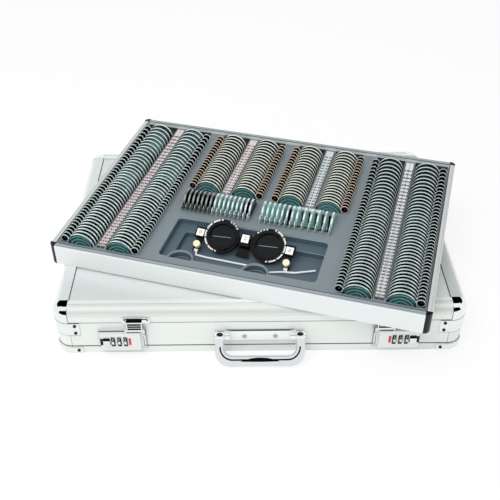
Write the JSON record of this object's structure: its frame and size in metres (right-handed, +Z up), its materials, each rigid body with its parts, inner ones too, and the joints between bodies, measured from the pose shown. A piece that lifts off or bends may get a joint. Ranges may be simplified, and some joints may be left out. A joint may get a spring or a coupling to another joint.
{
  "type": "trial lens case",
  "caption": "Aluminium trial lens case with combination locks, its lens tray on the lid: rows of ringed trial lenses, label strips and a trial frame in a moulded well",
  "frame": {"origin": "middle of the case underside, on the table", "axes": "+X to the case's right seen from its front, +Y towards the rear hinges, +Z up; the locks and handle face -Y"},
  "size_m": [0.5795, 0.4759, 0.1166],
  "materials": {
    "case_profile": "satin, drawn lengthwise",
    "case_panel": "satin",
    "lid_panel": "fine embossed diamonds",
    "foam": "matt foam",
    "chrome_fittings": "polished",
    "steel_fittings": "satin",
    "red_marker": "gloss",
    "lock_button": "satin",
    "number_wheels": "satin",
    "tray_frame": "satin pale grey",
    "black_caps": "semi gloss",
    "tray_base": "matt",
    "moulding": "fine matt, blue grey",
    "label_card": "printed card",
    "silver_rims": "polished",
    "gold_rims": "pale gold anodised",
    "lens_glass": "clear, faint green edge",
    "dark_discs": "dark tinted",
    "frame_black": "satin black",
    "scale_white": "white enamel",
    "frame_lens": "dark reflecting",
    "knob_cream": "gloss cream",
    "temple_metal": "polished tube"
  },
  "bodies": {
    "base": {"base_rails": "case_profile", "base_corner_posts": "case_profile", "base_bottom_panel": "case_panel", "base_lining": "foam", "base_corner_clamps": "chrome_fittings", "base_rivets": "steel_fittings", "hinge_base_leaves": "steel_fittings", "lock_body_left": "chrome_fittings", "lock_body_right": "chrome_fittings", "lock_markers": "red_marker", "handle_plate": "steel_fittings", "handle_brackets": "chrome_fittings"},
    "lid": {"lid_rails": "case_profile", "lid_corner_caps": "chrome_fittings", "lid_top_panel": "lid_panel", "lid_keepers": "chrome_fittings", "hinge_lid_leaves": "steel_fittings"},
    "handle": {"handle_bail": "chrome_fittings"},
    "tray": {"tray_walls": "tray_frame", "tray_corner_caps": "black_caps", "tray_floor": "tray_base", "tray_lens_beds": "moulding", "tray_frame_well": "moulding", "label_strips": "label_card", "lens_rims_sphere_left": "silver_rims", "lens_rims_sphere_right": "silver_rims", "lens_rims_cylinder": "gold_rims", "lens_rims_cross_left": "silver_rims", "lens_rims_cross_right": "silver_rims", "lens_glass_sphere_left": "lens_glass", "lens_glass_sphere_right": "lens_glass", "lens_glass_cylinder": "lens_glass", "lens_glass_cross_left": "dark_discs", "lens_glass_cross_right": "lens_glass"},
    "front_lens": {"lens_rims_front_right": "silver_rims", "lens_glass_front_right": "lens_glass"},
    "trial_frame": {"tf_bridge": "frame_black", "tf_bridge_label": "scale_white"},
    "hasp_left": {"hasp_left": "chrome_fittings"},
    "button_left": {"button_left": "lock_button"},
    "dial_left_1": {"dial_left_1": "number_wheels"},
    "dial_left_2": {"dial_left_2": "number_wheels"},
    "dial_left_3": {"dial_left_3": "number_wheels"},
    "half_left": {"tf_holder_left": "frame_black", "tf_scale_left": "scale_white", "tf_knob_left": "knob_cream"},
    "cell_left": {"tf_rotor_left": "frame_black", "tf_lens_left": "frame_lens"},
    "temple_left": {"tf_temple_left": "temple_metal"},
    "hasp_right": {"hasp_right": "chrome_fittings"},
    "button_right": {"button_right": "lock_button"},
    "dial_right_1": {"dial_right_1": "number_wheels"},
    "dial_right_2": {"dial_right_2": "number_wheels"},
    "dial_right_3": {"dial_right_3": "number_wheels"},
    "half_right": {"tf_holder_right": "frame_black", "tf_scale_right": "scale_white", "tf_knob_right": "knob_cream"},
    "cell_right": {"tf_rotor_right": "frame_black", "tf_lens_right": "frame_lens"},
    "temple_right": {"tf_temple_right": "temple_metal"}
  },
  "joints": [
    {"name": "lid_hinge", "type": "hinge", "parent": "base", "child": "lid", "pos_m": [0, 0.1922, 0.0533], "axis": [-1, 0, 0], "range_deg": [0, 90]},
    {"name": "handle_swing", "type": "hinge", "parent": "base", "child": "handle", "pos_m": [0, -0.195, 0.0342], "axis": [-1, 0, 0], "range_deg": [0, 75]},
    {"name": "tray_lift", "type": "slide", "parent": "lid", "child": "tray", "axis": [0, 0, 1], "range_m": [0, 0.15]},
    {"name": "front_lens_lift", "type": "slide", "parent": "tray", "child": "front_lens", "axis": [0, 0, 1], "range_m": [0, 0.08]},
    {"name": "trial_frame_lift", "type": "slide", "parent": "tray", "child": "trial_frame", "axis": [0, 0, 1], "range_m": [0, 0.1]},
    {"name": "hasp_left_flip", "type": "hinge", "parent": "base", "child": "hasp_left", "pos_m": [-0.16, -0.1935, 0.044], "axis": [1, 0, 0], "range_deg": [0, 85]},
    {"name": "button_left_slide", "type": "slide", "parent": "base", "child": "button_left", "axis": [-1, 0, 0], "range_m": [0, 0.0034]},
    {"name": "dial_left_1_turn", "type": "hinge", "parent": "base", "child": "dial_left_1", "pos_m": [-0.189, -0.1915, 0.0265], "axis": [1, 0, 0], "continuous": true},
    {"name": "dial_left_2_turn", "type": "hinge", "parent": "base", "child": "dial_left_2", "pos_m": [-0.181, -0.1915, 0.0265], "axis": [1, 0, 0], "continuous": true},
    {"name": "dial_left_3_turn", "type": "hinge", "parent": "base", "child": "dial_left_3", "pos_m": [-0.173, -0.1915, 0.0265], "axis": [1, 0, 0], "continuous": true},
    {"name": "pupil_distance_left", "type": "slide", "parent": "trial_frame", "child": "half_left", "axis": [-0.9494, 0.3135, 0.0185], "range_m": [-0.001, 0.004]},
    {"name": "cell_left_turn", "type": "hinge", "parent": "half_left", "child": "cell_left", "pos_m": [-0.04878, -0.07417, 0.102], "axis": [-0.1512, -0.5079, 0.848], "continuous": true},
    {"name": "temple_left_tilt", "type": "hinge", "parent": "half_left", "child": "temple_left", "pos_m": [-0.08416, -0.08404, 0.08625], "axis": [-0.9494, 0.3135, 0.0185], "range_deg": [0, 8]},
    {"name": "hasp_right_flip", "type": "hinge", "parent": "base", "child": "hasp_right", "pos_m": [0.16, -0.1935, 0.044], "axis": [1, 0, 0], "range_deg": [0, 85]},
    {"name": "button_right_slide", "type": "slide", "parent": "base", "child": "button_right", "axis": [1, 0, 0], "range_m": [0, 0.0034]},
    {"name": "dial_right_1_turn", "type": "hinge", "parent": "base", "child": "dial_right_1", "pos_m": [0.173, -0.1915, 0.0265], "axis": [1, 0, 0], "continuous": true},
    {"name": "dial_right_2_turn", "type": "hinge", "parent": "base", "child": "dial_right_2", "pos_m": [0.181, -0.1915, 0.0265], "axis": [1, 0, 0], "continuous": true},
    {"name": "dial_right_3_turn", "type": "hinge", "parent": "base", "child": "dial_right_3", "pos_m": [0.189, -0.1915, 0.0265], "axis": [1, 0, 0], "continuous": true},
    {"name": "pupil_distance_right", "type": "slide", "parent": "trial_frame", "child": "half_right", "axis": [0.9494, -0.3135, -0.0185], "range_m": [-0.001, 0.004]},
    {"name": "cell_right_turn", "type": "hinge", "parent": "half_right", "child": "cell_right", "pos_m": [0.01293, -0.09455, 0.1008], "axis": [-0.1512, -0.5079, 0.848], "continuous": true},
    {"name": "temple_right_tilt", "type": "hinge", "parent": "half_right", "child": "temple_right", "pos_m": [0.0349, -0.12335, 0.08393], "axis": [-0.9494, 0.3135, 0.0185], "range_deg": [0, 8]}
  ]
}
